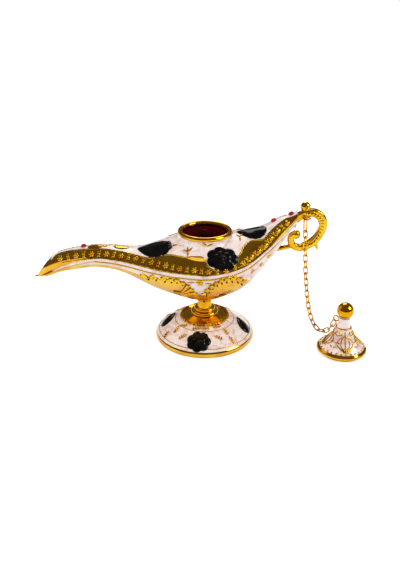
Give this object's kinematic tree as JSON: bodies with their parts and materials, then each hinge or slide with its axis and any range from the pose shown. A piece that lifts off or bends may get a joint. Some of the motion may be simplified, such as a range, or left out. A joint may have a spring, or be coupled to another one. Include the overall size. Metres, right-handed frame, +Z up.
{
  "type": "genie oil lamp",
  "caption": "Footed oil lamp with a long curved spout, scroll handle, round mouth and a domed lid on a chain, in gilt and enamelled metal.",
  "frame": {"origin": "centre of the foot's resting face", "axes": "+X from the spout towards the handle, -Y towards the side that the lid stands on, +Z up"},
  "size_m": [0.1766, 0.0585, 0.0765],
  "materials": {
    "gilt_metal": "polished gilt",
    "enamelled_metal": "pearl enamel on cast metal",
    "black_enamel": "gloss black enamel",
    "red_crystal": "cut crystal"
  },
  "bodies": {
    "lamp": {"upper_shell": "enamelled_metal", "lower_shell": "enamelled_metal", "mouth_ring": "gilt_metal", "handle": "gilt_metal", "handle_finial": "gilt_metal", "chain_eye": "gilt_metal", "stem": "gilt_metal", "foot_collar": "gilt_metal", "foot": "enamelled_metal", "foot_washer": "gilt_metal", "foot_screw": "gilt_metal", "deck_rose_front": "black_enamel", "deck_rose_back": "black_enamel", "spout_bud": "black_enamel", "tail_drop": "black_enamel", "foot_rose_front": "black_enamel", "foot_rose_back": "black_enamel", "foot_drop_left_front": "black_enamel", "foot_drop_right_front": "black_enamel", "foot_drop_left_back": "black_enamel", "foot_drop_right_back": "black_enamel", "gem_spout": "red_crystal", "gem_tail": "red_crystal", "gem_handle": "red_crystal"},
    "chain_top": {"chain_loop": "gilt_metal"},
    "chain_upper": {"chain_link_01": "gilt_metal", "chain_link_02": "gilt_metal", "chain_link_03": "gilt_metal", "chain_link_04": "gilt_metal", "chain_link_05": "gilt_metal", "chain_link_06": "gilt_metal", "chain_link_07": "gilt_metal", "chain_link_08": "gilt_metal", "chain_link_09": "gilt_metal", "chain_link_10": "gilt_metal", "chain_link_11": "gilt_metal", "chain_link_12": "gilt_metal", "chain_link_13": "gilt_metal", "chain_link_14": "gilt_metal", "chain_link_15": "gilt_metal", "chain_link_16": "gilt_metal"},
    "chain_lower": {"chain_link_17": "gilt_metal", "chain_link_18": "gilt_metal", "chain_link_19": "gilt_metal", "chain_link_20": "gilt_metal", "chain_link_21": "gilt_metal"},
    "lid": {"lid_shell": "enamelled_metal", "lid_rim": "gilt_metal", "lid_knob": "gilt_metal", "lid_lug": "gilt_metal"}
  },
  "joints": [
    {"name": "tether_turn", "type": "hinge", "parent": "lamp", "child": "chain_top", "pos_m": [0.05096, -0.00382, 0.0687], "axis": [0, 0, 1], "range_deg": [-30, 0]},
    {"name": "chain_swing", "type": "hinge", "parent": "chain_top", "child": "chain_upper", "pos_m": [0.05132, -0.0041, 0.06212], "axis": [-0.6139, -0.7894, 0], "range_deg": [0, 40]},
    {"name": "chain_bend", "type": "hinge", "parent": "chain_upper", "child": "chain_lower", "pos_m": [0.05893, -0.01002, 0.01069], "axis": [-0.6139, -0.7894, 0], "range_deg": [0, 25]},
    {"name": "lid_tilt", "type": "hinge", "parent": "chain_lower", "child": "lid", "pos_m": [0.06791, -0.01701, 0.01698], "axis": [-0.6139, -0.7894, 0], "range_deg": [0, 30]}
  ]
}
